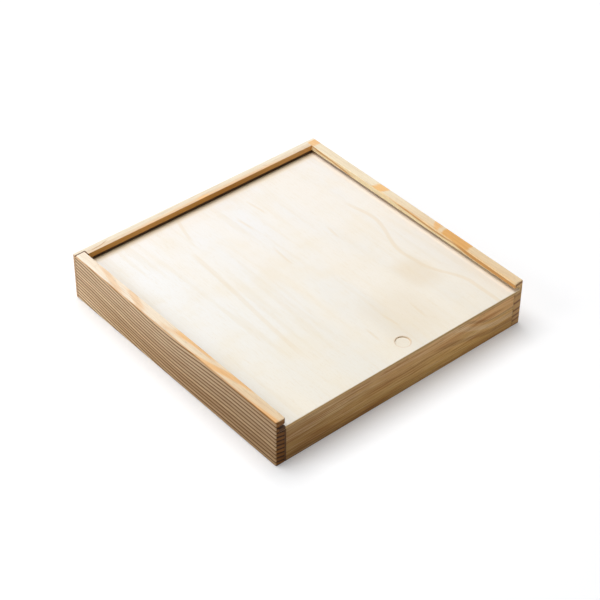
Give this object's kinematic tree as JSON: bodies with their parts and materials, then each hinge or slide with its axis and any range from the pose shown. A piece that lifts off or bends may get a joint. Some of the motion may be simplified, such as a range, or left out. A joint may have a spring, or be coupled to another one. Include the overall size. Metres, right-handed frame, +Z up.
{
  "type": "games compendium",
  "caption": "Flat square pine box with a sliding plywood lid, partitioned inside for boards, chessmen, draughtsmen, dominoes, cards, dice and other traditional games.",
  "frame": {"origin": "middle of the underside, where the box rests", "axes": "+Z up, front (the side the lid slides out of) towards -Y, +X to the right seen from the front"},
  "size_m": [0.3, 0.3, 0.0524],
  "materials": {
    "pine": "sanded, clear satin",
    "base_plywood": "sanded, unfinished",
    "lid_plywood": "sanded, clear matt",
    "divider_wood": "sanded, unfinished",
    "printed_board": "printed and varnished satin",
    "light_men_wood": "turned, clear lacquer",
    "dark_men_wood": "turned, stained and lacquered",
    "red_lacquer": "turned, gloss lacquer",
    "yellow_lacquer": "turned, gloss lacquer",
    "green_lacquer": "turned, gloss lacquer",
    "blue_lacquer": "turned, gloss lacquer",
    "domino_wood": "sanded, clear lacquer",
    "cards": "coated, satin",
    "die_plastic": "polished",
    "stick_wood": "bare bamboo with painted bands"
  },
  "bodies": {
    "box": {"left_side_wall": "pine", "right_side_wall": "pine", "front_wall": "pine", "back_wall": "pine", "base_panel": "base_plywood", "left_divider": "divider_wood", "right_divider": "divider_wood", "front_divider": "divider_wood", "stick_divider": "divider_wood", "left_channel_partition": "divider_wood", "right_channel_partition": "divider_wood", "domino_partition": "divider_wood", "dice_partition": "divider_wood", "ludo_board": "printed_board", "backgammon_board": "printed_board", "nine_mens_morris_board": "printed_board", "chess_board": "printed_board", "light_king": "light_men_wood", "light_queen": "light_men_wood", "light_bishops": "light_men_wood", "light_knights": "light_men_wood", "light_rooks": "light_men_wood", "light_pawns": "light_men_wood", "light_draughtsmen": "light_men_wood", "dark_king": "dark_men_wood", "dark_queen": "dark_men_wood", "dark_bishops": "dark_men_wood", "dark_knights": "dark_men_wood", "dark_rooks": "dark_men_wood", "dark_pawns": "dark_men_wood", "dark_draughtsmen": "dark_men_wood", "red_ludo_pawns": "red_lacquer", "yellow_ludo_pawns": "yellow_lacquer", "green_ludo_pawns": "green_lacquer", "blue_ludo_pawns": "blue_lacquer", "domino_tiles": "domino_wood", "blue_card_deck": "cards", "red_card_deck": "cards", "dice": "die_plastic", "pick_up_sticks": "stick_wood"},
    "lid": {"sliding_lid": "lid_plywood"}
  },
  "joints": [
    {"name": "lid_slide", "type": "slide", "parent": "box", "child": "lid", "axis": [0, -1, 0], "range_m": [0, 0.295]}
  ]
}
